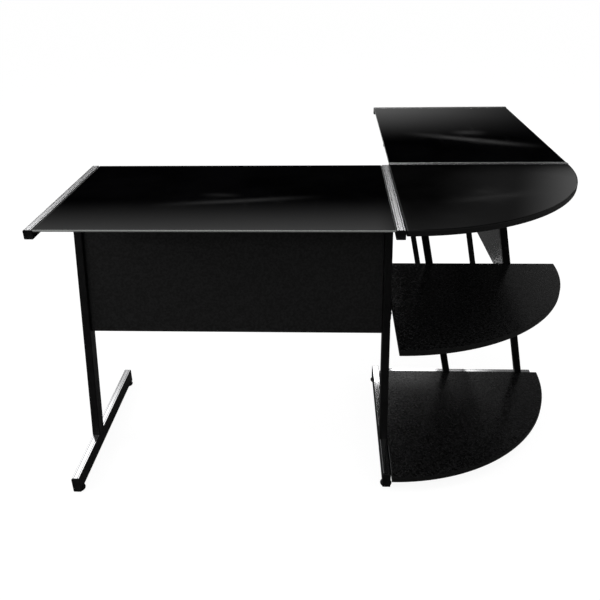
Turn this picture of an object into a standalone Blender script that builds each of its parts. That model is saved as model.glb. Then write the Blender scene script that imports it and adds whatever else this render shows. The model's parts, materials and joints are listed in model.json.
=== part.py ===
"""L-shaped computer desk: two black glass desks on slanted T-leg frames, joined by a
quarter-round corner unit with two shelves, and a keyboard tray on telescopic slides.

Axes: +X to the right along desk A, +Y away from its outer edge, +Z up.
Desk A lies along X.  Desk B is the same construction turned 90 degrees about Z.
The user sits in the inner corner, behind desk A (+Y) and left of desk B (-X).
The world origin is on the floor under the middle of the desk's bounding box.
"""
import math

import bmesh
import bpy
from mathutils import Matrix, Vector

# ---- Driving dimensions, in metres -------------------------------------------------------
HEIGHT = 0.762            # floor to table top
DEPTH = 0.512             # depth of both desks and radius of the corner top
LENGTH_A = 0.870          # desk A over its two frames
LENGTH_B = 0.7966         # desk B over its two frames
SEAM = 0.0010             # joint between a desk and the corner unit
GAP = 0.0003              # clearance between pieces that touch

TUBE = 0.022              # square steel tube: rails, foot bars and cross rails
WALL = 0.0015             # tube wall
TUBE_RADIUS = 0.0022      # outer corner radius of every tube
FOOT_TALL = 0.040         # foot bars are TUBE wide and this tall
POST_LEAN = 0.148         # how far a post leans inwards from foot bar to rail
POST_DEPTH = {"a": 0.040, "b": 0.022}    # of the posts, measured level; all TUBE wide
POST_START = {            # outer faces of the posts from the outer edge, at the foot
    "a": (0.158,),
    "b": (0.039, 0.2766),
}

STRIP_WIDTH = 0.018       # bright trim strip on every rail and foot bar
STRIP_THICK = 0.0012

GLASS = 0.005             # glass thickness
GLASS_DROP = 0.0002       # glass lies this much under the strips' top
CROSS_POSITIONS = {"outer": 0.100, "inner": 0.380}   # cross rails from the outer edge

FOOT_SPAN = {             # foot bars with their caps, from the outer edge
    "a_left": (-0.031, 0.510),
    "a_right": (0.0085, 0.5495),
    "b_near": (0.0085, 0.5065),
    "b_far": (-0.031, 0.510),
}
END_MARGIN = 0.0034       # rails and foot bars stop this far inside their strips
CAP_PLUG = 0.012          # length of a foot cap's plug inside the tube
CAP_CLEARANCE = 0.0005    # round the plug
GLIDE_RADIUS = 0.016
GLIDE_HEIGHT = 0.0070
GLIDE_INSET = 0.0185      # glide centre from the foot's end

PANEL = 0.016             # board thickness
PANEL_RECESS = {"a": 0.012, "b": 0.003}  # modesty panel behind the posts' outer face
PANEL_LOW = 0.358
PANEL_HIGH = 0.724

SHELF_MIDDLE_TOP = 0.4506
SHELF_MIDDLE_RADIUS = 0.516
SHELF_BOTTOM_TOP = 0.0525
SHELF_BOTTOM_RADIUS = 0.522
ARC_STEPS = 40            # facets of a quarter circle

SHEET = 0.002             # bent steel sheet of angles and hangers
CORNER_ANGLE = (0.022, 0.019, 0.340)     # under the corner top: reach, height, length
MIDDLE_ANGLE = (0.034, 0.036, 0.020)     # under the middle shelf, one on each post
BOTTOM_ANGLE = (0.024, 0.011, 0.340)     # under the bottom shelf

SLIDE_Z = 0.632           # middle height of the tray's slides
SLIDE_FRONT = 0.470       # user end of the slides, from desk B's outer edge
SLIDE_LENGTH = 0.270
SLIDE_WALL = 0.0012
TRAY_BOARD = 0.015
TRAY_DEPTH = (0.200, 0.468)
TRAY_EDGE = 0.030         # board's edge from desk B's end
CLEAT_THICK = 0.015
HANGER_SPAN = (0.217, 0.377)

# ---- Worked out from the driving dimensions ----------------------------------------------
BAR_TOP = GLIDE_HEIGHT + GAP + FOOT_TALL
RAIL_TOP = HEIGHT - STRIP_THICK - GAP
RAIL_LOW = RAIL_TOP - TUBE
POST_LOW = BAR_TOP + STRIP_THICK + 2 * GAP
POST_HIGH = RAIL_LOW - GAP
LEAN_PER_METRE = POST_LEAN / (POST_HIGH - POST_LOW)
LEAN_ANGLE = math.atan(LEAN_PER_METRE)
GLASS_LOW = HEIGHT - GLASS_DROP - GLASS
CROSS_TOP = GLASS_LOW - GAP
CORNER_X = LENGTH_A + SEAM             # inner corner of the corner unit
CORNER_Y = DEPTH + SEAM
EDGE_B = CORNER_X + DEPTH              # outer edge of desk B
START_B = CORNER_Y + GAP               # near end of desk B
GLIDE_OVERHANG = GLIDE_RADIUS - TUBE / 2
WORLD_LOW = Vector((-GLIDE_OVERHANG, FOOT_SPAN["a_left"][0], 0.0))
WORLD_HIGH = Vector((EDGE_B - FOOT_SPAN["b_far"][0], START_B + LENGTH_B + GLIDE_OVERHANG,
                     0.0))
TRAY_BOARD_LOW = SLIDE_Z + 0.0205

# ---- Finishes: colour, roughness, metallic -----------------------------------------------
FINISHES = {
    "black_glass": ((0.010, 0.010, 0.011), 0.05, 0.0),
    "gloss_board": ((0.012, 0.012, 0.013), 0.10, 0.0),
    "fleck_board": ((0.020, 0.020, 0.021), 0.55, 0.0),
    "powder_steel": ((0.014, 0.014, 0.015), 0.42, 0.3),
    "bright_strip": ((0.80, 0.80, 0.81), 0.12, 1.0),
    "black_plastic": ((0.015, 0.015, 0.015), 0.50, 0.0),
    "zinc_steel": ((0.55, 0.56, 0.58), 0.30, 1.0),
}

# Turns an outline drawn in local X,Y into a bar whose length runs along the named axis.
ALONG = {
    "X": Matrix(((0, 0, 1), (1, 0, 0), (0, 1, 0))),   # outline x,y become Y,Z
    "Y": Matrix(((1, 0, 0), (0, 0, -1), (0, 1, 0))),  # outline x,y become X,Z
}


# ---- Scene helpers -----------------------------------------------------------------------
def clear_scene():
    for old in list(bpy.data.objects):
        bpy.data.objects.remove(old, do_unlink=True)


def new_collection(name):
    collection = bpy.data.collections.new(name)
    bpy.context.scene.collection.children.link(collection)
    return collection


def empty(name, location, turn=0.0, parent=None):
    obj = bpy.data.objects.new(name, None)
    obj.location = location
    obj.rotation_euler = (0.0, 0.0, turn)
    obj.parent = parent
    PARTS.objects.link(obj)
    return obj


def finish(obj, kind):
    """Give the object its own Principled material of the named kind."""
    colour, roughness, metallic = FINISHES[kind]
    material = bpy.data.materials.new(obj.name + "_" + kind)
    material.use_nodes = True
    shader = material.node_tree.nodes["Principled BSDF"]
    shader.inputs["Base Color"].default_value = (*colour, 1.0)
    shader.inputs["Roughness"].default_value = roughness
    shader.inputs["Metallic"].default_value = metallic
    obj.material_slots[0].link = "OBJECT"
    obj.material_slots[0].material = material


def node(name, mesh, kind, parent, location, rotation=None):
    """A named sub-part made of the mesh, placed in its parent's axes."""
    if not mesh.materials:
        mesh.materials.append(None)
    obj = bpy.data.objects.new(name, mesh)
    PARTS.objects.link(obj)
    obj.parent = parent
    obj.location = location
    if rotation is not None:
        obj.rotation_euler = rotation.to_euler()
    finish(obj, kind)
    return obj


def soften(obj, width, segments=2):
    """Round every sharp edge of the object."""
    bevel = obj.modifiers.new("rounded edges", "BEVEL")
    bevel.width = width
    bevel.segments = segments
    bevel.limit_method = "ANGLE"
    bevel.angle_limit = math.radians(40)


# ---- Meshes ------------------------------------------------------------------------------
def box_mesh(name, size):
    mesh = bpy.data.meshes.new(name)
    shape = bmesh.new()
    bmesh.ops.create_cube(shape, size=1.0)
    bmesh.ops.scale(shape, vec=size, verts=shape.verts)
    shape.to_mesh(mesh)
    shape.free()
    return mesh


def box(name, low, high, kind, parent, edge, segments=2):
    """A box between two corners, with its edges rounded by the given radius."""
    low = Vector(low)
    high = Vector(high)
    obj = node(name, box_mesh(name, high - low), kind, parent, (low + high) / 2)
    soften(obj, edge, segments)


def evaluated_mesh(obj):
    bpy.context.view_layer.update()
    return bpy.data.meshes.new_from_object(
        obj.evaluated_get(bpy.context.evaluated_depsgraph_get()))


def prism_mesh(name, outlines, length, one_face=False):
    """Extrude a flat outline, with any holes, along Z and centre it on z = 0."""
    curve = bpy.data.curves.new(name, "CURVE")
    curve.dimensions = "2D"
    curve.fill_mode = "BOTH"
    curve.extrude = length / 2
    for points in outlines:
        spline = curve.splines.new("POLY")
        spline.points.add(len(points) - 1)
        for target, (x, y) in zip(spline.points, points):
            target.co = (x, y, 0.0, 1.0)
        spline.use_cyclic_u = True
    holder = bpy.data.objects.new(name, curve)
    bpy.context.scene.collection.objects.link(holder)
    mesh = evaluated_mesh(holder)
    bpy.data.objects.remove(holder)
    bpy.data.curves.remove(curve)
    shape = bmesh.new()
    shape.from_mesh(mesh)
    bmesh.ops.remove_doubles(shape, verts=shape.verts, dist=0.00001)
    if one_face:
        bmesh.ops.dissolve_limit(shape, angle_limit=math.radians(0.5),
                                 verts=shape.verts, edges=shape.edges)
    bmesh.ops.recalc_face_normals(shape, faces=shape.faces)
    shape.to_mesh(mesh)
    shape.free()
    return mesh


def rounded_rectangle(width, depth, radius, steps=3):
    """Outline of a rectangle centred on the origin, with round corners."""
    points = []
    for corner, (sx, sy) in enumerate(((1, 1), (-1, 1), (-1, -1), (1, -1))):
        centre = Vector((sx * (width / 2 - radius), sy * (depth / 2 - radius)))
        for step in range(steps + 1):
            angle = math.pi / 2 * (corner + step / steps)
            points.append(tuple(centre + radius * Vector((math.cos(angle), math.sin(angle)))))
    return points


def tube_outlines(width, depth):
    inner = rounded_rectangle(width - 2 * WALL, depth - 2 * WALL, TUBE_RADIUS - WALL, 1)
    return [rounded_rectangle(width, depth, TUBE_RADIUS), inner]


def angle_outline(across, up):
    """An L of steel sheet with its outer corner on the origin; negative sizes turn it over."""
    tx = math.copysign(SHEET, across)
    ty = math.copysign(SHEET, up)
    return [(0, 0), (across, 0), (across, ty), (tx, ty), (tx, up), (0, up)]


def channel_outline(side, web, lip, half_height):
    """A C-section: web at x = web, lips ending at x = lip, mirrored when side is -1."""
    step = math.copysign(SLIDE_WALL, lip - web)
    inner = half_height - SLIDE_WALL
    points = [(web, -half_height), (lip, -half_height), (lip, -inner), (web + step, -inner),
              (web + step, inner), (lip, inner), (lip, half_height), (web, half_height)]
    return [(side * x, y) for x, y in points]


def quarter_round(radius):
    """Quarter of a disc to the right of and in front of its centre."""
    angles = [math.pi / 2 * step / ARC_STEPS for step in range(ARC_STEPS + 1)]
    return [(0.0, 0.0)] + [(radius * math.cos(a), -radius * math.sin(a)) for a in angles]


# ---- Pieces of a desk, in the desk's own axes --------------------------------------------
# Local x runs from one frame to the other, local y from the outer edge to the user's edge.
def bar_in_depth(name, x, start, end, top, tall, parent):
    """Tube running in y, centred on x, with its upper face at the given height."""
    mesh = prism_mesh(name, tube_outlines(TUBE, tall), end - start)
    node(name, mesh, "powder_steel", parent, (x, (start + end) / 2, top - tall / 2), ALONG["Y"])


def strip_on(name, x, start, end, low, parent):
    """Bright flat strip lying on a bar."""
    half = STRIP_WIDTH / 2
    box(name, (x - half, start, low), (x + half, end, low + STRIP_THICK),
        "bright_strip", parent, 0.0003, 1)


def post_face(offset, z):
    """Local y of a post's outer face at height z."""
    return offset + (z - POST_LOW) * LEAN_PER_METRE


def slanted_post(name, x, offset, depth, parent):
    """Rectangular tube leaning inwards, with level ends."""
    mesh = prism_mesh(name, tube_outlines(TUBE, depth), POST_HIGH - POST_LOW)
    shape = bmesh.new()
    shape.from_mesh(mesh)
    lean = Matrix.Identity(4)
    lean[1][2] = LEAN_PER_METRE
    bmesh.ops.transform(shape, matrix=lean, verts=shape.verts)
    shape.to_mesh(mesh)
    shape.free()
    middle = (POST_LOW + POST_HIGH) / 2
    centre = (x, post_face(offset, middle) + depth / 2, middle)
    node(name, mesh, "powder_steel", parent, centre)


def foot_cap_mesh():
    """Moulded end of a foot bar, facing -y: a plate, a plug behind it and a round glide.

    Its origin is on the floor at the foot's end, in the middle of the bar.
    """
    plate_low = GLIDE_HEIGHT / 2
    plate_high = BAR_TOP + STRIP_THICK / 2
    inset = 2 * (WALL + CAP_CLEARANCE)
    plate = box_mesh("plate", (TUBE, END_MARGIN, plate_high - plate_low))
    shell = bpy.data.objects.new("foot cap", plate)
    shell.location = (0, END_MARGIN / 2, (plate_low + plate_high) / 2)
    soften(shell, 0.0010)
    plug = bpy.data.objects.new(
        "plug", box_mesh("plug", (TUBE - inset, CAP_PLUG, FOOT_TALL - inset)))
    plug.location = (0, END_MARGIN / 2 + CAP_PLUG / 2, BAR_TOP - FOOT_TALL / 2)
    disc = bpy.data.meshes.new("glide")
    shape = bmesh.new()
    bmesh.ops.create_cone(shape, cap_ends=True, segments=28, radius1=GLIDE_RADIUS,
                          radius2=GLIDE_RADIUS, depth=GLIDE_HEIGHT)
    rim = [e for e in shape.edges if abs(e.verts[0].co.z - e.verts[1].co.z) < 0.0001]
    bmesh.ops.bevel(shape, geom=rim, offset=0.0014, segments=2, affect="EDGES")
    shape.to_mesh(disc)
    shape.free()
    glide = bpy.data.objects.new("glide", disc)
    glide.location = (0, GLIDE_INSET, GLIDE_HEIGHT / 2)
    for other in (plug, glide):
        CUTTERS.objects.link(other)
        other.hide_render = True
        other.display_type = "WIRE"
        join = shell.modifiers.new("join " + other.name, "BOOLEAN")
        join.operation = "UNION"
        join.object = other
    CUTTERS.objects.link(shell)
    mesh = evaluated_mesh(shell)
    mesh.transform(shell.matrix_world)
    for used in (shell, plug, glide):
        bpy.data.objects.remove(used)
    mesh.materials.clear()
    mesh.shade_smooth()
    mesh.set_sharp_from_angle(angle=math.radians(35))
    return mesh


def frame_of(letter, end, x, cap, parent):
    """One end frame: top rail, leaning posts, foot bar, bright strips and foot caps."""
    prefix = letter + "_" + end
    bar_in_depth("rail_" + prefix, x, END_MARGIN, DEPTH - END_MARGIN, RAIL_TOP, TUBE, parent)
    strip_on("rail_strip_" + prefix, x, 0.0, DEPTH, RAIL_TOP + GAP, parent)
    outer, inner = FOOT_SPAN[prefix]
    start = outer + END_MARGIN + GAP
    stop = inner - END_MARGIN - GAP
    bar_in_depth("foot_bar_" + prefix, x, start, stop, BAR_TOP, FOOT_TALL, parent)
    strip_on("foot_strip_" + prefix, x, start, stop, BAR_TOP + GAP, parent)
    node("foot_cap_" + prefix + "_outer", cap, "black_plastic", parent, (x, outer, 0))
    node("foot_cap_" + prefix + "_inner", cap, "black_plastic", parent, (x, inner, 0),
         Matrix.Rotation(math.pi, 3, "Z"))
    offsets = POST_START[letter]
    names = [""] if len(offsets) == 1 else ["_outer", "_inner"]
    for ending, offset in zip(names, offsets):
        slanted_post("post_" + prefix + ending, x, offset, POST_DEPTH[letter], parent)


def glass_top(name, length, parent):
    side = TUBE + 2 * GAP
    box(name, (side, GAP, GLASS_LOW), (length - side, DEPTH - GAP, GLASS_LOW + GLASS),
        "black_glass", parent, 0.0020, 3)


def cross_rail(name, length, start, parent):
    """Square tube from frame to frame, close under the glass."""
    mesh = prism_mesh(name, tube_outlines(TUBE, TUBE), length - 2 * (TUBE + GAP))
    node(name, mesh, "powder_steel", parent,
         (length / 2, start + TUBE / 2, CROSS_TOP - TUBE / 2), ALONG["X"])


def modesty_panel(letter, length, parent):
    """Board between the outer posts, leaning with them."""
    name = "modesty_panel_" + letter
    height = (PANEL_HIGH - PANEL_LOW) / math.cos(LEAN_ANGLE)
    middle = (PANEL_LOW + PANEL_HIGH) / 2
    depth_in = PANEL_RECESS[letter] + PANEL / 2 / math.cos(LEAN_ANGLE)
    centre = (length / 2, post_face(POST_START[letter][0], middle) + depth_in, middle)
    size = (length - 2 * (TUBE + GAP), PANEL, height)
    obj = node(name, box_mesh(name, size), "fleck_board", parent, centre,
               Matrix.Rotation(-LEAN_ANGLE, 3, "X"))
    soften(obj, 0.0008)


def desk(letter, ends, length, cap, parent):
    glass_top("glass_top_" + letter, length, parent)
    for end, x in zip(ends, (TUBE / 2, length - TUBE / 2)):
        frame_of(letter, end, x, cap, parent)
    for place, start in CROSS_POSITIONS.items():
        cross_rail("cross_rail_" + letter + "_" + place, length, start, parent)
    modesty_panel(letter, length, parent)


# ---- Corner unit -------------------------------------------------------------------------
def corner_board(name, radius, top, kind, edge, segments, parent):
    mesh = prism_mesh(name, [quarter_round(radius)], PANEL, one_face=True)
    mesh.shade_smooth()
    mesh.set_sharp_from_angle(angle=math.radians(35))
    obj = node(name, mesh, kind, parent, (CORNER_X, CORNER_Y, top - PANEL / 2))
    soften(obj, edge, segments)


def angle_under(name, side, along, board_top, sizes, parent):
    """Steel angle in the corner between a board's underside and the steel beside it.

    side "left" lies against desk A's right frame, side "back" against desk B's near frame.
    """
    reach, tall, length = sizes
    under = board_top - PANEL - GAP
    across = reach if side == "left" else -reach
    mesh = prism_mesh(name, [angle_outline(across, -tall)], length)
    if side == "left":
        node(name, mesh, "powder_steel", parent, (LENGTH_A + GAP, along, under), ALONG["Y"])
    else:
        node(name, mesh, "powder_steel", parent, (along, START_B - GAP, under), ALONG["X"])


def corner_unit(parent):
    corner_board("corner_top", DEPTH, HEIGHT, "gloss_board", 0.0030, 3, parent)
    corner_board("corner_shelf_middle", SHELF_MIDDLE_RADIUS, SHELF_MIDDLE_TOP,
                 "fleck_board", 0.0012, 2, parent)
    corner_board("corner_shelf_bottom", SHELF_BOTTOM_RADIUS, SHELF_BOTTOM_TOP,
                 "fleck_board", 0.0012, 2, parent)
    half = DEPTH / 2
    angle_under("corner_angle_left", "left", half, HEIGHT, CORNER_ANGLE, parent)
    angle_under("corner_angle_back", "back", CORNER_X + half, HEIGHT, CORNER_ANGLE, parent)
    angle_under("bottom_angle_left", "left", half, SHELF_BOTTOM_TOP, BOTTOM_ANGLE, parent)
    angle_under("bottom_angle_back", "back", CORNER_X + half, SHELF_BOTTOM_TOP,
                BOTTOM_ANGLE, parent)
    bracket_z = SHELF_MIDDLE_TOP - PANEL - MIDDLE_ANGLE[1] / 2
    on_post = post_face(POST_START["a"][0], bracket_z) + POST_DEPTH["a"] / 2
    angle_under("shelf_bracket_left", "left", on_post, SHELF_MIDDLE_TOP, MIDDLE_ANGLE, parent)
    for place, offset in zip(("outer", "inner"), POST_START["b"]):
        on_post = EDGE_B - post_face(offset, bracket_z) - POST_DEPTH["b"] / 2
        angle_under("shelf_bracket_" + place, "back", on_post, SHELF_MIDDLE_TOP,
                    MIDDLE_ANGLE, parent)


# ---- Keyboard tray, in desk B's axes -----------------------------------------------------
def slide_member(name, side, web, lip, half_height, length, start, parent):
    """One rolled channel of a telescopic slide, its length in local y."""
    mesh = prism_mesh(name, [channel_outline(side, web, lip, half_height)], length)
    base = 0.0 if side > 0 else LENGTH_B
    node(name, mesh, "zinc_steel", parent, (base, start + length / 2, SLIDE_Z), ALONG["Y"])


def tray_side(end, side, fixed, moving):
    """Hanger, telescopic slide and cleat at one end of the tray; side -1 is mirrored."""
    base = 0.0 if side > 0 else LENGTH_B
    web = TUBE + GAP
    top = RAIL_LOW - GAP
    outline = [(web + SHEET, SLIDE_Z - 0.020), (web, SLIDE_Z - 0.020), (web, top - SHEET),
               (SHEET, top - SHEET), (SHEET, top), (web + SHEET, top)]
    hanger = prism_mesh("hanger", [[(side * x, z) for x, z in outline]],
                        HANGER_SPAN[1] - HANGER_SPAN[0])
    node("tray_hanger_" + end, hanger, "powder_steel", fixed,
         (base, sum(HANGER_SPAN) / 2, 0.0), ALONG["Y"])
    start = SLIDE_FRONT - SLIDE_LENGTH
    outer = web + SHEET + GAP
    middle = outer + SLIDE_WALL + 0.0004
    inner = middle + 0.0106
    slide_member("slide_outer_" + end, side, outer, outer + 0.0065, 0.018,
                 SLIDE_LENGTH, start, fixed)
    slide_member("slide_middle_" + end, side, middle, middle + 0.0083, 0.0145,
                 SLIDE_LENGTH, start, fixed)
    slide_member("slide_inner_" + end, side, inner, inner - 0.0068, 0.011,
                 SLIDE_LENGTH - 0.005, start + 0.002, moving)
    cleat = inner + GAP
    xs = sorted((base + side * cleat, base + side * (cleat + CLEAT_THICK)))
    box("tray_cleat_" + end, (xs[0], TRAY_DEPTH[0] + 0.006, SLIDE_Z - 0.018),
        (xs[1], TRAY_DEPTH[1] - 0.006, TRAY_BOARD_LOW - GAP), "fleck_board", moving, 0.0008)


def keyboard_tray(fixed):
    """Board on two cleats, carried by telescopic slides; it pulls out along local +y."""
    moving = empty("tray_travel", (0, 0, 0), parent=fixed)
    box("tray_board", (TRAY_EDGE, TRAY_DEPTH[0], TRAY_BOARD_LOW),
        (LENGTH_B - TRAY_EDGE, TRAY_DEPTH[1], TRAY_BOARD_LOW + TRAY_BOARD),
        "fleck_board", moving, 0.0020, 3)
    tray_side("near", 1, fixed, moving)
    tray_side("far", -1, fixed, moving)


# ---- The whole desk ----------------------------------------------------------------------
def main():
    root = empty("l_desk", -(WORLD_LOW + WORLD_HIGH) / 2)
    desk_a = empty("desk_a", (0, 0, 0), parent=root)
    desk_b = empty("desk_b", (EDGE_B, START_B, 0), math.pi / 2, parent=root)
    cap = foot_cap_mesh()
    desk("a", ("left", "right"), LENGTH_A, cap, desk_a)
    desk("b", ("near", "far"), LENGTH_B, cap, desk_b)
    corner_unit(root)
    keyboard_tray(desk_b)
    bpy.context.view_layer.update()


clear_scene()
PARTS = new_collection("l_shaped_computer_desk")
CUTTERS = new_collection("cutters")
main()
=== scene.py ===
"""Looks for the L-shaped computer desk: finishes, end caps, trim, fasteners and the studio."""
import json
import math

import bmesh
import bpy
from mathutils import Matrix, Vector


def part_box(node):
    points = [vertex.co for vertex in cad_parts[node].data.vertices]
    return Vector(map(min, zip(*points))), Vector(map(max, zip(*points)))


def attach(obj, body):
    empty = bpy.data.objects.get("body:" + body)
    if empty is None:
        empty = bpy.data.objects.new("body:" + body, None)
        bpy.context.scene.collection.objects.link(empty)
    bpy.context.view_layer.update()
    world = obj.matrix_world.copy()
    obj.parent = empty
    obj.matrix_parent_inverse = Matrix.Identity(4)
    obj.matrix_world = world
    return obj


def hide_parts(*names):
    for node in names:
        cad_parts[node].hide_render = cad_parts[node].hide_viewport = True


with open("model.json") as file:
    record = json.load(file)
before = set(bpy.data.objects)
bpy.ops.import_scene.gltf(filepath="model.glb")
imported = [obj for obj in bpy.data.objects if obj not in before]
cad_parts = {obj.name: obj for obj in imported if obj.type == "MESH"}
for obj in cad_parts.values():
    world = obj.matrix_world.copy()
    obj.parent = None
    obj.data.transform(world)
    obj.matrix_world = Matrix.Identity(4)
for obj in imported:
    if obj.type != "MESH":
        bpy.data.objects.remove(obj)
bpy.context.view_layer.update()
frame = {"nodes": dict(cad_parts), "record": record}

# ---- Camera, in the frame's metres and in degrees ----------------------------------------
CAMERA_PLACE = (-0.0072, -2.0515, 1.3206)
CAMERA_DOWN = 27.485
CAMERA_TURN = -2.715      # positive looks towards +X
CAMERA_ROLL = -0.941
CAMERA_LENS = 40.53       # mm on a 36 mm sensor

# ---- Studio ------------------------------------------------------------------------------
FLAG_TILT = -0.006        # lean of the dark flags' edges
STREAKS = (               # faint light streaks: bearing, rise, slope, half length, strength
    (-8.2, 19.1, -0.044, 8.5, 0.120), (-9.5, 18.6, 0.022, 2.2, 0.050),
    (11.8, 14.3, 0.106, 6.2, 0.165), (11.5, 13.7, 0.022, 1.7, 0.090),
    (14.0, 19.0, -0.100, 5.0, 0.150), (13.5, 18.5, 0.0, 1.9, 0.080),
)
STREAK_HALF_WIDTH = 0.20  # degrees
WORLD_SHADING = 0.55      # the world's strength for soft shading
FLOOR_SIZE = 60.0
FLOOR_GLOW = 0.92         # lift of the floor as the camera sees it
FLOOR_SEEN = 0.14         # grey under that lift, where the contact shadows show
FLOOR_BOUNCE = 0.13       # grey of the floor for reflections and bounced light
LAMPS = (                 # name, place, target, size and watts
    ("overhead", (0.2, 0.2, 3.4), (0.0, 0.0, 0.5), (3.4, 3.0), 55),
    ("left_fill", (-3.0, -1.2, 1.6), (0.0, 0.0, 0.4), (1.6, 1.6), 44),
    ("right_fill", (2.8, -1.0, 1.8), (0.3, 0.0, 0.4), (1.6, 1.6), 12),
)

# ---- Hardware sizes, in metres -----------------------------------------------------------
TRIM_SOFT = 0.00035       # chamfer of a trim strip's long edges
TRIM_GROOVE = 0.0003      # depth of the two grooves along each trim strip
TRIM_GROOVE_INSET = 0.0030
TRIM_GROOVE_WIDTH = 0.0014
TRIM_GROOVE_WALL = 0.0001
CAP_SOFT = 0.0007         # chamfer of an end cap's rim
CAP_CORNER = 0.0022       # radius of an end cap's corners
SEAT_GAP = 0.0002         # between a cap or glide and the tube that it closes
GLIDE_INSET = 0.0185      # glide centre from the foot's end
GLIDE_RIBS = 24
POST_DEPTH = {"a": 0.040, "b": 0.022}
PANEL_BOLT_HEIGHTS = (0.500, 0.660)
POST_BOLTS = {"a": (0.020, (-0.010, 0.010)), "b": (0.011, (0.0,))}  # reach in, then shifts
SCREW_RADIUS = 0.0034
SCREW_HEIGHT = 0.0022
BOLT_RADIUS = 0.0056
BOLT_HEIGHT = SCREW_HEIGHT + 0.0004
SHEET = 0.002             # bent steel sheet of angles and hangers
ANGLE_SCREW_SHIFT = 0.002     # from the middle of an angle's box, away from its upright leg
BRACKET_SCREW_SHIFT = 0.004   # the same for the small shelf brackets
ANGLE_SCREWS = 4              # along each angle
TRAY_SCREW_SHARES = (0.2, 0.8)    # along a hanger or cleat

NODES = frame["nodes"]
DESK = "desk"


# ---- Material building -------------------------------------------------------------------
class Recipe:
    """One procedural material: a Principled shader and the nodes that feed it."""

    def __init__(self, name):
        self.material = bpy.data.materials.new(name)
        self.material.use_nodes = True
        self.tree = self.material.node_tree
        self.shader = self.tree.nodes["Principled BSDF"]
        self.place = self.tree.nodes.new("ShaderNodeTexCoord").outputs["Object"]

    def node(self, kind, **settings):
        made = self.tree.nodes.new(kind)
        for key, value in settings.items():
            setattr(made, key, value)
        return made

    def feed(self, socket, value):
        """Link an output, or set a plain value, on an input socket."""
        if isinstance(value, bpy.types.NodeSocket):
            self.tree.links.new(value, socket)
        else:
            socket.default_value = value

    def stretched(self, scales):
        """Object coordinates scaled separately along each axis."""
        mapping = self.node("ShaderNodeMapping")
        self.feed(mapping.inputs["Vector"], self.place)
        mapping.inputs["Scale"].default_value = scales
        return mapping.outputs["Vector"]

    def noise(self, scale, detail=3.0, rough=0.55, stretch=None):
        made = self.node("ShaderNodeTexNoise")
        self.feed(made.inputs["Vector"], self.stretched(stretch) if stretch else self.place)
        made.inputs["Scale"].default_value = scale
        made.inputs["Detail"].default_value = detail
        made.inputs["Roughness"].default_value = rough
        return made.outputs["Fac"]

    def cells(self, scale):
        """Distance to the nearest of scattered points."""
        made = self.node("ShaderNodeTexVoronoi", feature="F1")
        self.feed(made.inputs["Vector"], self.place)
        made.inputs["Scale"].default_value = scale
        return made.outputs["Distance"]

    def span(self, value, low, high, to_low, to_high):
        """Map value smoothly from low..high to to_low..to_high, clamped."""
        made = self.node("ShaderNodeMapRange", interpolation_type="SMOOTHSTEP", clamp=True)
        for socket, number in zip(made.inputs, (value, low, high, to_low, to_high)):
            self.feed(socket, number)
        return made.outputs["Result"]

    def calc(self, operation, first, second=0.0):
        made = self.node("ShaderNodeMath", operation=operation)
        self.feed(made.inputs[0], first)
        self.feed(made.inputs[1], second)
        return made.outputs["Value"]

    def plus(self, first, second):
        return self.calc("ADD", first, second)

    def times(self, first, second):
        return self.calc("MULTIPLY", first, second)

    def blend(self, factor, first, second):
        """Colour between first and second."""
        made = self.node("ShaderNodeMix", data_type="RGBA")
        self.feed(made.inputs["Factor"], factor)
        for socket, colour in zip((made.inputs[6], made.inputs[7]), (first, second)):
            self.feed(socket, colour if isinstance(colour, bpy.types.NodeSocket) else (*colour, 1.0))
        return made.outputs[2]

    def sides(self):
        """1 on upright faces and rounded edges, 0 on level ones."""
        split = self.node("ShaderNodeSeparateXYZ")
        self.feed(split.inputs[0], self.node("ShaderNodeNewGeometry").outputs["Normal"])
        level = self.calc("ABSOLUTE", split.outputs["Z"])
        return self.span(level, 0.80, 0.97, 1.0, 0.0)

    def edges(self, radius):
        """1 along sharp or tightly rounded edges, fading over the radius."""
        rounded = self.node("ShaderNodeBevel", samples=4)
        rounded.inputs["Radius"].default_value = radius
        flat = self.node("ShaderNodeNewGeometry").outputs["Normal"]
        dot = self.node("ShaderNodeVectorMath", operation="DOT_PRODUCT")
        self.feed(dot.inputs[0], rounded.outputs["Normal"])
        self.feed(dot.inputs[1], flat)
        return self.span(dot.outputs["Value"], 0.80, 0.985, 1.0, 0.0)

    def bump(self, *layers):
        """Add bump layers, each (height socket, depth in metres)."""
        normal = None
        for height, depth in layers:
            made = self.node("ShaderNodeBump")
            made.inputs["Distance"].default_value = depth
            self.feed(made.inputs["Height"], height)
            if normal is not None:
                self.feed(made.inputs["Normal"], normal)
            normal = made.outputs["Normal"]
        self.feed(self.shader.inputs["Normal"], normal)

    def finish(self, colour, roughness, metallic=0.0, specular=0.5):
        self.feed(self.shader.inputs["Base Color"], colour)
        self.feed(self.shader.inputs["Roughness"], roughness)
        self.shader.inputs["Metallic"].default_value = metallic
        self.shader.inputs["Specular IOR Level"].default_value = specular
        return self.material


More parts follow.
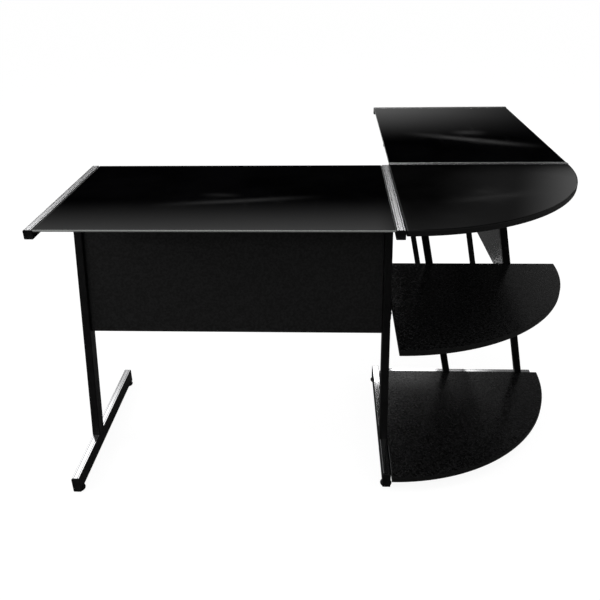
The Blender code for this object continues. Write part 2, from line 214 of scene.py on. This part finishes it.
def black_glass():
    """Back-painted safety glass: faint haze, wipe marks and dust, ground light edges."""
    m = Recipe("black_glass")
    cloud = m.noise(5.0, 4.0)
    body = m.blend(m.span(cloud, 0.35, 0.65, 0.0, 1.0), (0.0006, 0.0006, 0.0007),
                   (0.0014, 0.0014, 0.0016))
    dust = m.span(m.cells(420.0), 0.0, 0.06, 1.0, 0.0)
    dusty = m.times(dust, m.span(m.noise(9.0), 0.50, 0.66, 0.0, 0.5))
    body = m.blend(dusty, body, (0.060, 0.060, 0.058))
    ground = m.blend(m.noise(300.0), (0.20, 0.21, 0.20), (0.34, 0.35, 0.34))
    side = m.sides()
    colour = m.blend(side, body, ground)
    haze = m.span(m.noise(13.0, 6.0, 0.65), 0.45, 0.75, 0.012, 0.035)
    wipes = m.span(m.noise(40.0, 3.0, 0.6, (1.0, 0.12, 1.0)), 0.50, 0.80, 0.0, 0.030)
    roughness = m.plus(m.plus(haze, wipes), m.times(side, 0.20))
    m.bump((m.noise(2.4, 1.0), 0.0002), (m.noise(900.0, 2.0), 0.000002))
    return m.finish(colour, roughness)


def gloss_board():
    """Black gloss laminate with a trace of orange peel; a plain edge band on the upright faces, its
    colour darkened as painted shade.
    """
    m = Recipe("gloss_board")
    cloud = m.span(m.noise(7.0, 4.0), 0.3, 0.7, 0.0, 1.0)
    body = m.blend(cloud, (0.0009, 0.0009, 0.0009), (0.0020, 0.0020, 0.0021))
    dust = m.times(m.span(m.cells(380.0), 0.0, 0.07, 0.6, 0.0),
                   m.span(m.noise(11.0), 0.5, 0.7, 0.0, 1.0))
    colour = m.blend(dust, body, (0.050, 0.050, 0.048))
    roughness = m.span(m.noise(16.0, 6.0, 0.6), 0.35, 0.75, 0.035, 0.060)
    side = m.sides()
    # Painted shade: upright faces and edges blend to a plain darker black, over the plain edge band.
    colour = m.blend(m.times(side, 0.7), colour, (0.0012, 0.0012, 0.0012))
    roughness = m.plus(roughness, m.times(side, 0.30))
    m.bump((m.noise(160.0, 2.0), 0.000008), (m.noise(3.0, 1.0), 0.0002))
    return m.finish(colour, roughness, specular=0.42)


def fleck_board(name, low, high, band_and_shade_edges, specular=0.32):
    """Satin black laminate: pearl grain, pale flecks, corners lighter from wear and as painted
    highlight; the edge band makes upright faces plain and darker as painted shade.
    """
    m = Recipe(name)
    grain = m.span(m.noise(160.0, 3.0, 0.7), 0.40, 0.60, 0.0, 1.0)
    body = m.blend(grain, (0.0008, 0.0008, 0.0008), (0.0088, 0.0088, 0.0091))
    fleck = m.span(m.cells(520.0), 0.05, 0.22, 1.0, 0.0)
    sparse = m.span(m.noise(310.0, 2.0), 0.50, 0.64, 0.0, 0.75)
    colour = m.blend(m.times(fleck, sparse), body, (0.020, 0.020, 0.021))
    roughness = m.span(m.noise(150.0, 2.0), 0.35, 0.65, low, high)
    if band_and_shade_edges:
        side = m.sides()
        # Edge band: upright faces turn plain and darker; the darkening is painted shade.
        colour = m.blend(m.times(side, 0.6), colour, (0.0010, 0.0010, 0.0010))
        roughness = m.plus(roughness, m.times(side, 0.22))
    # Edges lighter from wear and as a painted highlight.
    wear_and_highlight = m.times(m.edges(0.0012), m.span(m.noise(60.0, 4.0), 0.40, 0.70, 0.0, 0.6))
    colour = m.blend(wear_and_highlight, colour, (0.022, 0.022, 0.023))
    m.bump((m.noise(170.0, 2.0, 0.6), 0.00010), (m.cells(330.0), 0.00001))
    return m.finish(colour, roughness, specular=specular)


def powder_steel():
    """Satin black powder coat: fine orange peel, dust in the grain, edges lighter from wear and as a
    painted highlight.
    """
    m = Recipe("powder_steel")
    cloud = m.span(m.noise(28.0, 5.0, 0.6), 0.3, 0.7, 0.0, 1.0)
    body = m.blend(cloud, (0.0014, 0.0014, 0.0015), (0.0036, 0.0036, 0.0038))
    speck = m.span(m.noise(1100.0, 2.0), 0.62, 0.74, 0.0, 0.6)
    body = m.blend(speck, body, (0.016, 0.016, 0.017))
    # Edges lighter from wear and as a painted highlight.
    wear_and_highlight = m.times(m.edges(0.0011), m.span(m.noise(45.0, 5.0, 0.7), 0.48, 0.70, 0.0, 0.8))
    colour = m.blend(wear_and_highlight, body, (0.034, 0.034, 0.035))
    roughness = m.span(m.noise(55.0, 4.0), 0.3, 0.7, 0.34, 0.48)
    m.bump((m.noise(340.0, 3.0), 0.00016), (m.noise(1300.0, 2.0), 0.00005))
    return m.finish(colour, roughness, specular=0.18)


def bright_trim(name, low, high):
    """Bright drawn aluminium: fine lines along the strip and a few scratches."""
    m = Recipe(name)
    lines = m.noise(1.0, 2.0, 0.6, (900.0, 4.0, 900.0))
    scratch = m.span(m.noise(1.0, 2.0, 0.5, (900.0, 18.0, 900.0)), 0.66, 0.74, 0.0, 1.0)
    colour = m.blend(m.span(lines, 0.3, 0.7, 0.0, 1.0), (0.86, 0.86, 0.87), (0.93, 0.93, 0.94))
    colour = m.blend(scratch, colour, (0.76, 0.76, 0.77))
    roughness = m.plus(m.span(lines, 0.3, 0.7, low, high), m.times(scratch, 0.03))
    m.bump((lines, 0.000001))
    return m.finish(colour, roughness, metallic=1.0)


def black_plastic():
    """Moulded black plastic with a spark-eroded grain, and edges lighter from scuffs and as a
    painted highlight.
    """
    m = Recipe("black_plastic")
    cloud = m.span(m.noise(70.0, 4.0), 0.35, 0.65, 0.0, 1.0)
    body = m.blend(cloud, (0.0022, 0.0022, 0.0023), (0.0048, 0.0048, 0.0050))
    # Edges lighter from scuffs and as a painted highlight.
    scuff_and_highlight = m.times(m.edges(0.0009), m.span(m.noise(150.0, 4.0, 0.7), 0.45, 0.68, 0.0, 0.9))
    colour = m.blend(scuff_and_highlight, body, (0.026, 0.026, 0.027))
    roughness = m.span(m.noise(120.0, 4.0), 0.3, 0.7, 0.46, 0.62)
    m.bump((m.noise(1500.0, 3.0, 0.6), 0.00010), (m.cells(900.0), 0.00006))
    return m.finish(colour, roughness, specular=0.18)


def zinc_steel():
    """Zinc-plated rolled steel: rolling lines and cloudy passivation."""
    m = Recipe("zinc_steel")
    lines = m.noise(1.0, 4.0, 0.7, (8.0, 1400.0, 1400.0))
    spangle = m.span(m.cells(140.0), 0.1, 0.8, 0.0, 1.0)
    colour = m.blend(m.span(m.noise(30.0, 4.0), 0.35, 0.65, 0.0, 1.0), (0.44, 0.45, 0.47),
                     (0.60, 0.61, 0.62))
    colour = m.blend(m.times(spangle, 0.35), colour, (0.50, 0.50, 0.46))
    roughness = m.span(lines, 0.3, 0.7, 0.26, 0.42)
    m.bump((lines, 0.00005), (spangle, 0.00004))
    return m.finish(colour, roughness, metallic=1.0)


def black_fastener():
    """Blackened steel screw heads, with bare metal along the edges a driver has rubbed."""
    m = Recipe("black_fastener")
    bare = m.times(m.edges(0.0004), m.span(m.noise(900.0, 3.0), 0.42, 0.62, 0.0, 1.0))
    oiled = m.blend(m.noise(420.0, 3.0), (0.012, 0.012, 0.013), (0.034, 0.034, 0.036))
    colour = m.blend(bare, oiled, (0.34, 0.34, 0.35))
    roughness = m.span(m.noise(700.0, 3.0), 0.3, 0.7, 0.30, 0.46)
    m.bump((m.noise(1400.0, 2.0), 0.00004))
    return m.finish(colour, roughness, metallic=0.85)


MATERIALS = {
    "black_glass": black_glass(),
    "gloss_board": gloss_board(),
    "fleck_board": fleck_board("fleck_board", 0.17, 0.29, band_and_shade_edges=True),
    "panel_board_a": fleck_board("panel_board_a", 0.40, 0.50, band_and_shade_edges=False),
    "panel_board_b": fleck_board("panel_board_b", 0.26, 0.34, band_and_shade_edges=False, specular=0.50),
    "powder_steel": powder_steel(),
    "bright_strip": bright_trim("bright_trim", 0.18, 0.22),
    "foot_trim": bright_trim("foot_trim", 0.09, 0.12),
    "black_plastic": black_plastic(),
    "zinc_steel": zinc_steel(),
    "fastener": black_fastener(),
}


# ---- Pieces ------------------------------------------------------------------------------
def piece(name, mesh, slot, body, matrix, finish=None, smooth_degrees=35):
    """An object made of the mesh, placed by the matrix, riding on a CAD body."""
    mesh.shade_smooth()
    mesh.set_sharp_from_angle(angle=math.radians(smooth_degrees))
    mesh.materials.clear()
    mesh.materials.append(MATERIALS[finish or slot])
    obj = bpy.data.objects.new(name, mesh)
    bpy.context.scene.collection.objects.link(obj)
    obj.matrix_world = matrix
    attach(obj, body)
    return obj


def placed(place, direction):
    """Matrix whose local Z points along direction and whose local Y is near the world's up."""
    z = Vector(direction).normalized()
    y = Vector((0.0, 0.0, 1.0))
    if abs(y.dot(z)) > 0.99:
        y = Vector((0.0, 1.0, 0.0))
    x = y.cross(z).normalized()
    return Matrix.Translation(place) @ Matrix((x, z.cross(x), z)).transposed().to_4x4()


def mesh_of(name, shape):
    """A mesh from a bmesh, with its faces turned outwards; frees the bmesh."""
    bmesh.ops.recalc_face_normals(shape, faces=shape.faces)
    mesh = bpy.data.meshes.new(name)
    shape.to_mesh(mesh)
    shape.free()
    return mesh


def rings_mesh(name, rings):
    """Skin a list of equally long point rings and close both ends."""
    shape = bmesh.new()
    loops = [[shape.verts.new(point) for point in ring] for ring in rings]
    for low, high in zip(loops, loops[1:]):
        for a, b, c, d in zip(low, low[1:] + low[:1], high[1:] + high[:1], high):
            shape.faces.new((a, b, c, d))
    shape.faces.new(list(reversed(loops[0])))
    shape.faces.new(loops[-1])
    return mesh_of(name, shape)


def circle(radius, z, count=32, shape=None):
    """Ring of points; shape(angle) multiplies the radius."""
    points = []
    for step in range(count):
        angle = 2 * math.pi * step / count
        reach = radius * (shape(angle) if shape else 1.0)
        points.append((reach * math.cos(angle), reach * math.sin(angle), z))
    return points


def hexagon(angle):
    """Outline of a hexagon recess, as a share of its corner radius."""
    return math.cos(math.pi / 6) / math.cos((angle % (math.pi / 3)) - math.pi / 6)


def cross_slot(angle):
    """Outline of a cross recess: four arms with narrow roots."""
    half_arm = 0.24
    turn = (angle + math.pi / 4) % (math.pi / 2) - math.pi / 4
    return min(1.0, half_arm / max(abs(math.sin(turn)), 0.0001))


def rounded_square(width, height, radius, z):
    """Ring of points round a rectangle with rounded corners."""
    steps = 5
    points = []
    for corner, (sx, sy) in enumerate(((1, 1), (-1, 1), (-1, -1), (1, -1))):
        cx = sx * (width / 2 - radius)
        cy = sy * (height / 2 - radius)
        for step in range(steps + 1):
            angle = math.pi / 2 * (corner + step / steps)
            points.append((cx + radius * math.cos(angle), cy + radius * math.sin(angle), z))
    return points


def head_mesh(radius, height, socket, recess):
    """Domed screw head standing on z = 0 with a recess in its top."""
    rings = [circle(radius, 0.0), circle(radius, height * 0.25)]
    for share in (0.3, 0.6, 0.85):
        angle = share * math.pi / 2
        rings.append(circle(radius * (0.55 + 0.45 * math.cos(angle)),
                            height * (0.25 + 0.75 * math.sin(angle))))
    rings.append(circle(recess, height, shape=socket))
    rings.append(circle(recess * 0.94, height * 0.35, shape=socket))
    return rings_mesh("head", rings)


HEADS = {
    "screw": head_mesh(SCREW_RADIUS, SCREW_HEIGHT, cross_slot, SCREW_RADIUS * 0.62),
    "bolt": head_mesh(BOLT_RADIUS, BOLT_HEIGHT, hexagon, BOLT_RADIUS * 0.42),
}


def screw(name, place, direction, body=DESK, kind="screw"):
    """A screw or bolt head standing on a face that looks along direction."""
    piece(name, HEADS[kind].copy(), "powder_steel", body, placed(place, direction), "fastener")


def sideways(axis, side):
    """Unit vector along one axis, in the given sense."""
    direction = Vector((0.0, 0.0, 0.0))
    direction[axis] = side
    return direction


def cap_mesh(width, height, thickness):
    """Tube end plug seen from outside: a chamfered rim round a shallow dish."""
    soft = CAP_SOFT
    inner = CAP_CORNER - soft
    rings = [rounded_square(width - 2 * soft, height - 2 * soft, inner, 0.0),
             rounded_square(width, height, CAP_CORNER, soft),
             rounded_square(width, height, CAP_CORNER, thickness - soft),
             rounded_square(width - 2 * soft, height - 2 * soft, inner, thickness),
             rounded_square(width - 5 * soft, height - 5 * soft, inner, thickness),
             rounded_square(width - 7 * soft, height - 7 * soft, inner, thickness - 0.8 * soft)]
    return rings_mesh("cap", rings)


# ---- Carried-over CAD nodes --------------------------------------------------------------
def dress_cad_nodes():
    """Every CAD node gets the finish of its slot in the record, the panels one each."""
    slots = {row["node"]: row["material_slot"] for row in frame["record"]["subparts"]}
    for name, obj in NODES.items():
        obj.data.materials.clear()
        panel = name.replace("modesty_panel", "panel_board")
        obj.data.materials.append(MATERIALS[slots[name] if panel == name else panel])


def trim_strip(node_name):
    """Drawn strip with two fine grooves, their floors black as painted shade, in place of the plain
    CAD strip.
    """
    low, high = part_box(node_name)
    size = high - low
    along_y = size.y > size.x
    width = size.x if along_y else size.y
    length = size.y if along_y else size.x
    half = width / 2
    soft = TRIM_SOFT
    inner = half - TRIM_GROOVE_INSET
    top, bottom = size.z, size.z - TRIM_GROOVE
    profile = [(-half, 0.0), (-half, top - soft), (-half + soft, top)]
    for start, stop in ((-inner, -inner + TRIM_GROOVE_WIDTH), (inner - TRIM_GROOVE_WIDTH, inner)):
        profile += [(start, top), (start + TRIM_GROOVE_WALL, bottom),
                    (stop - TRIM_GROOVE_WALL, bottom), (stop, top)]
    profile += [(half - soft, top), (half, top - soft), (half, 0.0)]
    rings = [[(x, y, z) for x, z in profile] for y in (-length / 2, length / 2)]
    turn = Matrix.Identity(4) if along_y else Matrix.Rotation(-math.pi / 2, 4, "Z")
    centre = Vector(((low.x + high.x) / 2, (low.y + high.y) / 2, low.z))
    obj = piece("trim_" + node_name, rings_mesh("trim", rings), "bright_strip", DESK,
                Matrix.Translation(centre) @ turn,
                finish="foot_trim" if node_name.startswith("foot") else None,
                smooth_degrees=20)
    # Painted shade: the groove floors take the black plastic material.
    obj.data.materials.append(MATERIALS["black_plastic"])
    for face in obj.data.polygons:
        sunk = top - face.center.z
        in_groove = abs(face.center.x) < half - 2 * soft
        if in_groove and 0.4 * TRIM_GROOVE < sunk < 1.1 * TRIM_GROOVE:
            face.material_index = 1
    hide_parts(node_name)


def rail_caps(letter, end):
    """Black plugs in both ends of a top rail, under the trim strip."""
    low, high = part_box(f"rail_{letter}_{end}")
    trim_low, trim_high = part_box(f"rail_strip_{letter}_{end}")
    axis = 1 if letter == "a" else 0
    tube = high[1 - axis] - low[1 - axis]
    for side, rail_end, trim_end in ((-1, low[axis], trim_low[axis]),
                                     (1, high[axis], trim_high[axis])):
        place = (low + high) / 2
        place[axis] = rail_end + side * SEAT_GAP
        thickness = abs(trim_end - rail_end) - SEAT_GAP
        ending = "outer" if (side < 0) == (letter == "a") else "inner"
        piece(f"rail_cap_{letter}_{end}_{ending}", cap_mesh(tube, tube, thickness),
              "black_plastic", DESK, placed(place, sideways(axis, side)))


def glide_mesh(radius, height):
    """Round glide with a ribbed grip and a pad that meets the floor."""
    def grip(angle):
        return 1.0 - 0.035 * (0.5 + 0.5 * math.cos(GLIDE_RIBS * angle))

    profile = (           # share of the radius, height above the floor, outline
        (0.86, 0.0, None), (0.93, 0.0007, None), (0.93, 0.0016, None),
        (0.985, 0.0022, grip), (1.0, 0.0034, grip), (1.0, height - 0.0022, grip),
        (0.95, height - 0.0006, grip), (0.86, height, None),
    )
    count = 4 * GLIDE_RIBS
    return rings_mesh("glide", [circle(radius * share, z, count, shape)
                                for share, z, shape in profile])


def foot_cap(node_name):
    """Foot bar's end cap and, under the bar, its round glide."""
    low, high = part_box(node_name)
    bar_low, bar_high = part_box("foot_bar_" + node_name[len("foot_cap_"):].rsplit("_", 1)[0])
    axis = 1 if "_a_" in node_name else 0
    cross = 1 - axis
    middle = (bar_low + bar_high) / 2
    side = 1 if (low[axis] + high[axis]) / 2 > middle[axis] else -1
    face = high[axis] if side > 0 else low[axis]
    bar_end = bar_high[axis] if side > 0 else bar_low[axis]
    plate_low = bar_low.z / 2
    place = middle.copy()
    place[axis] = bar_end + side * SEAT_GAP
    place.z = (plate_low + high.z) / 2
    plate = cap_mesh(bar_high[cross] - bar_low[cross], high.z - plate_low,
                     abs(face - bar_end) - SEAT_GAP)
    cap = piece(node_name + "_plate", plate, "black_plastic", DESK,
                placed(place, sideways(axis, side)))
    spot = middle.copy()
    spot[axis] = face - side * GLIDE_INSET
    spot.z = 0.0
    glide = piece(node_name + "_glide",
                  glide_mesh((high[cross] - low[cross]) / 2, bar_low.z - SEAT_GAP),
                  "black_plastic", DESK, Matrix.Translation(spot))
    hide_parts(node_name)
    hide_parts(node_name)


# ---- Fasteners ---------------------------------------------------------------------------
def bolts_outside_rail(letter, end, side):
    """Button-head bolts through a free rail into the cross rails."""
    low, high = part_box(f"rail_{letter}_{end}")
    axis = 0 if letter == "a" else 1
    for place in ("outer", "inner"):
        cross_low, cross_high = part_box(f"cross_rail_{letter}_{place}")
        spot = (cross_low + cross_high) / 2
        spot[axis] = high[axis] if side > 0 else low[axis]
        screw(f"rail_bolt_{letter}_{end}_{place}", spot, sideways(axis, side), kind="bolt")


def bolts_under_feet():
    """Bolts from below through the foot bar into each post."""
    for name in sorted(NODES):
        if not name.startswith("post_"):
            continue
        low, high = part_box(name)
        parts = name.split("_")
        bar_low, bar_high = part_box(f"foot_bar_{parts[1]}_{parts[2]}")
        axis = 1 if parts[1] == "a" else 0
        reach, shifts = POST_BOLTS[parts[1]]
        foot = low[axis] + reach if parts[1] == "a" else high[axis] - reach
        for number, shift in enumerate(shifts, 1):
            spot = (bar_low + bar_high) / 2
            spot[axis] = foot + shift
            spot.z = bar_low.z
            screw(f"foot_bolt_{'_'.join(parts[1:])}_{number}", spot, (0, 0, -1), kind="bolt")


def panel_bolts(letter, end, side):
    """Bolts through a frame's outer posts into the ends of the modesty panel."""
    name = f"post_{letter}_{end}" if letter == "a" else f"post_{letter}_{end}_outer"
    low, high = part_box(name)
    depth_axis = 1 if letter == "a" else 0
    across = 1 - depth_axis
    depth = POST_DEPTH[letter]
    lean = high[depth_axis] - low[depth_axis] - depth
    for number, height in enumerate(PANEL_BOLT_HEIGHTS, 1):
        inwards = depth / 2 + lean * (height - low.z) / (high.z - low.z)
        spot = Vector((0.0, 0.0, height))
        spot[depth_axis] = low.y + inwards if letter == "a" else high.x - inwards
        spot[across] = high[across] if side > 0 else low[across]
        screw(f"panel_bolt_{letter}_{end}_{number}", spot, sideways(across, side), kind="bolt")


def tray_fasteners(end, side):
    """Screws of one tray hanger, into the rail above and the slide, and of its cleat."""
    low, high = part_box("tray_hanger_" + end)
    slide_low, slide_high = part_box("slide_outer_" + end)
    cleat_low, cleat_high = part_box("tray_cleat_" + end)
    leg = high.y - SHEET if side > 0 else low.y + SHEET
    for number, share in enumerate(TRAY_SCREW_SHARES, 1):
        x = low.x + (high.x - low.x) * share
        screw(f"hanger_screw_{end}_{number}", (x, (low.y + high.y) / 2, high.z - SHEET),
              (0, 0, -1))
        screw(f"slide_screw_{end}_{number}", (x, leg, (slide_low.z + slide_high.z) / 2),
              (0, -side, 0))
        x = cleat_low.x + (cleat_high.x - cleat_low.x) * share
        screw(f"cleat_screw_{end}_{number}", (x, (cleat_low.y + cleat_high.y) / 2, cleat_low.z),
              (0, 0, -1), body="tray")


def screws_in_angle(node_name):
    """Pan-head screws up through an angle's level leg into the board above."""
    low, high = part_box(node_name)
    axis = 0 if high.x - low.x > high.y - low.y else 1
    cross = 1 - axis
    for number in range(ANGLE_SCREWS):
        spot = (low + high) / 2
        spot[axis] = low[axis] + (high[axis] - low[axis]) * (number + 0.5) / ANGLE_SCREWS
        spot[cross] += ANGLE_SCREW_SHIFT if cross == 0 else -ANGLE_SCREW_SHIFT
        spot.z = high.z - SHEET
        screw(f"{node_name}_screw_{number + 1}", spot, (0, 0, -1))


def screws_in_bracket(node_name):
    """One screw up into the shelf and one into the post."""
    low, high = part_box(node_name)
    shift = BRACKET_SCREW_SHIFT
    up_spot = (low + high) / 2
    side_spot = up_spot.copy()
    up_spot.z = high.z - SHEET
    side_spot.z -= shift
    if "left" in node_name:
        up_spot.x += shift
        side_spot.x = low.x + SHEET
        direction = (1, 0, 0)
    else:
        up_spot.y -= shift
        side_spot.y = high.y - SHEET
        direction = (0, -1, 0)
    screw(node_name + "_screw_up", up_spot, (0, 0, -1))
    screw(node_name + "_screw_side", side_spot, direction)


# ---- Studio ------------------------------------------------------------------------------
def studio_floor():
    """Pale seamless floor; its own lift of light keeps the contact shadows faint."""
    shape = bmesh.new()
    bmesh.ops.create_grid(shape, x_segments=2, y_segments=2, size=FLOOR_SIZE)
    floor = bpy.data.objects.new("studio_floor", mesh_of("studio_floor", shape))
    bpy.context.scene.collection.objects.link(floor)
    material = bpy.data.materials.new("studio_floor")
    material.use_nodes = True
    nodes = material.node_tree.nodes
    links = material.node_tree.links
    nodes.clear()
    output = nodes.new("ShaderNodeOutputMaterial")
    mix = nodes.new("ShaderNodeMixShader")
    path = nodes.new("ShaderNodeLightPath")
    seen = nodes.new("ShaderNodeAddShader")
    glow = nodes.new("ShaderNodeEmission")
    glow.inputs["Strength"].default_value = FLOOR_GLOW
    lit = nodes.new("ShaderNodeBsdfDiffuse")
    lit.inputs["Color"].default_value = (FLOOR_SEEN, FLOOR_SEEN, FLOOR_SEEN, 1.0)
    bounce = nodes.new("ShaderNodeBsdfDiffuse")
    bounce.inputs["Color"].default_value = (FLOOR_BOUNCE, FLOOR_BOUNCE, FLOOR_BOUNCE, 1.0)
    links.new(glow.outputs[0], seen.inputs[0])
    links.new(lit.outputs[0], seen.inputs[1])
    links.new(path.outputs["Is Camera Ray"], mix.inputs[0])
    links.new(bounce.outputs[0], mix.inputs[1])
    links.new(seen.outputs[0], mix.inputs[2])
    links.new(mix.outputs[0], output.inputs[0])
    floor.data.materials.append(material)


def studio_world():
    """White to the eye, soft for shading, and shaped by dark flags in the reflections.

    The reflected studio is laid out by rise above the horizon and by bearing from +Y
    towards +X, both in degrees.
    """
    world = bpy.data.worlds.new("studio")
    bpy.context.scene.world = world
    world.use_nodes = True
    tree = world.node_tree
    tree.nodes.clear()
    degree = math.radians(1)

    def node(kind, *inputs, **settings):
        made = tree.nodes.new(kind)
        for key, value in settings.items():
            setattr(made, key, value)
        for socket, value in zip(made.inputs, inputs):
            if isinstance(value, bpy.types.NodeSocket):
                tree.links.new(value, socket)
            elif value is not None:
                socket.default_value = value
        return made.outputs[0]

    def calc(operation, first, second=None):
        return node("ShaderNodeMath", first, second, operation=operation)

    def plus(first, second):
        return calc("ADD", first, second)

    def times(first, *others):
        for other in others:
            first = calc("MULTIPLY", first, other)
        return first

    def fade(value, low, high, to_low, to_high):
        """Map an angle smoothly from low..high degrees to to_low..to_high, clamped."""
        return node("ShaderNodeMapRange", value, low * degree, high * degree, to_low, to_high,
                    interpolation_type="SMOOTHSTEP", clamp=True)

    # The direction's rise and bearing. Ahead of the camera the flags' edges are straight
    # and lean a little; to the sides they follow the horizon.
    split = tree.nodes.new("ShaderNodeSeparateXYZ")
    tree.links.new(tree.nodes.new("ShaderNodeTexCoord").outputs["Generated"], split.inputs[0])
    x, y, z = (split.outputs[axis] for axis in "XYZ")
    turn = math.radians(CAMERA_TURN)
    ahead = plus(times(y, math.cos(turn)), times(x, math.sin(turn)))
    tilted = plus(z, times(x, FLAG_TILT))
    bearing = calc("ARCTAN2", x, y)
    off_ahead = calc("ABSOLUTE", bearing)
    in_front = fade(off_ahead, 50, 75, 1.0, 0.0)
    dome = calc("ARCSINE", z)
    rise = plus(dome, times(calc("SUBTRACT", calc("ARCTAN2", tilted, ahead), dome), in_front))

    # Two dark flags high up, one ahead and one at the left, which the foot strips reflect.
    flag_ahead = times(fade(rise, 34.3, 35.8, 0.0, 0.92), fade(bearing, -9, -3, 0.0, 1.0))
    flag_left = times(fade(rise, 27, 29, 0.0, 0.85), fade(rise, 34, 36.5, 1.0, 0.0),
                      fade(bearing, -19, -15, 1.0, 0.0))
    open_sky = calc("SUBTRACT", calc("SUBTRACT", 1.0, flag_ahead), flag_left)

    # The sky above the low flag, in three layers, dimmer at the right.
    near_sky = times(fade(rise, 18.8, 26.3, 0.0, 0.90), fade(bearing, 4, 7.5, 1.0, 0.22),
                     fade(bearing, 11, 15, 1.0, 0.38), open_sky)
    brow = times(fade(rise, 22, 28, 0.0, 3.4), fade(bearing, 5.5, 9, 1.0, 0.03),
                 fade(rise, 29, 32, 1.0, 0.15), open_sky)
    high_sky = times(fade(rise, 31, 33.5, 0.0, 2.7), fade(bearing, 12, 16.5, 1.0, 0.03),
                     fade(rise, 33.5, 35.3, 1.0, 0.06), fade(bearing, -19, -15, 0.08, 1.0))

    # A glow along the horizon, a lit patch at the right, and soft walls at both sides.
    horizon = times(fade(rise, 10.5, 14.4, 0.40, 0.0), fade(bearing, 1, 18, 1.0, 0.10))
    right = times(plus(fade(bearing, 8, 15, 0.0, 0.040), fade(bearing, 15.5, 24, 0.0, 0.54)),
                  fade(rise, 16.2, 17.2, 0.0, 1.0), fade(rise, 20.5, 23, 1.0, 0.03))
    ahead_glow = times(plus(horizon, right), in_front)
    walls = times(fade(off_ahead, 50, 80, 0.0, 0.30), fade(off_ahead, 110, 160, 1.0, 0.60),
                  fade(rise, 20, 34, 1.0, 0.0))
    reflected = plus(plus(plus(near_sky, high_sky), plus(ahead_glow, walls)), brow)

    for middle, height, slope, half_length, strength in STREAKS:
        along = calc("SUBTRACT", bearing, middle * degree)
        line = plus(times(along, slope), height * degree)
        across = calc("ABSOLUTE", calc("SUBTRACT", rise, line))
        streak = times(fade(across, 0.0, STREAK_HALF_WIDTH, strength, 0.0),
                       fade(calc("ABSOLUTE", along), 0.0, half_length, 1.0, 0.0))
        reflected = plus(reflected, streak)

    white = (1.0, 1.0, 1.0, 1.0)
    path = tree.nodes.new("ShaderNodeLightPath")
    soft = node("ShaderNodeBackground", white, WORLD_SHADING)
    mirror = node("ShaderNodeBackground", white, reflected)
    to_eye = node("ShaderNodeBackground", white, 1.0)
    lit = node("ShaderNodeMixShader", path.outputs["Is Glossy Ray"], soft, mirror)
    seen = node("ShaderNodeMixShader", path.outputs["Is Camera Ray"], lit, to_eye)
    output = tree.nodes.new("ShaderNodeOutputWorld")
    tree.links.new(seen, output.inputs["Surface"])


def soft_light(name, place, target, size, watts):
    """Area lamp that only shades: the reflections come from the studio world."""
    data = bpy.data.lights.new(name, "AREA")
    data.shape = "RECTANGLE"
    data.size, data.size_y = size
    data.energy = watts
    light = bpy.data.objects.new(name, data)
    bpy.context.scene.collection.objects.link(light)
    light.location = place
    light.rotation_euler = (Vector(target) - Vector(place)).to_track_quat("-Z", "Y").to_euler()
    light.visible_camera = False
    light.visible_glossy = False


def photo_camera():
    """Camera at the photograph's place and angle."""
    down, turn, roll = (math.radians(a) for a in (CAMERA_DOWN, CAMERA_TURN, CAMERA_ROLL))
    forward = Vector((math.sin(turn) * math.cos(down), math.cos(turn) * math.cos(down),
                      -math.sin(down)))
    right = Vector((math.cos(turn), -math.sin(turn), 0.0))
    up = right.cross(forward)
    right, up = (math.cos(roll) * right + math.sin(roll) * up,
                 math.cos(roll) * up - math.sin(roll) * right)
    data = bpy.data.cameras.new("camera")
    data.lens = CAMERA_LENS
    camera = bpy.data.objects.new("camera", data)
    bpy.context.scene.collection.objects.link(camera)
    turned = Matrix((right, up, -forward)).transposed().to_4x4()
    camera.matrix_world = Matrix.Translation(CAMERA_PLACE) @ turned
    bpy.context.scene.camera = camera


# ---- The whole scene ---------------------------------------------------------------------
dress_cad_nodes()
for name in sorted(NODES):
    if name.startswith(("rail_strip_", "foot_strip_")):
        trim_strip(name)
    if name.startswith("foot_cap_"):
        foot_cap(name)
for letter, ends in (("a", ("left", "right")), ("b", ("near", "far"))):
    for end in ends:
        rail_caps(letter, end)
bolts_outside_rail("a", "left", -1)
bolts_outside_rail("b", "far", 1)
bolts_under_feet()
for frame_side in (("a", "left", -1), ("a", "right", 1), ("b", "near", -1), ("b", "far", 1)):
    panel_bolts(*frame_side)
for end, side in (("near", 1), ("far", -1)):
    tray_fasteners(end, side)
for name in ("corner_angle_left", "corner_angle_back", "bottom_angle_left", "bottom_angle_back"):
    screws_in_angle(name)
for name in ("shelf_bracket_left", "shelf_bracket_outer", "shelf_bracket_inner"):
    screws_in_bracket(name)
studio_floor()
studio_world()
for lamp in LAMPS:
    soft_light(*lamp)
photo_camera()
bpy.context.scene.view_settings.view_transform = "Standard"
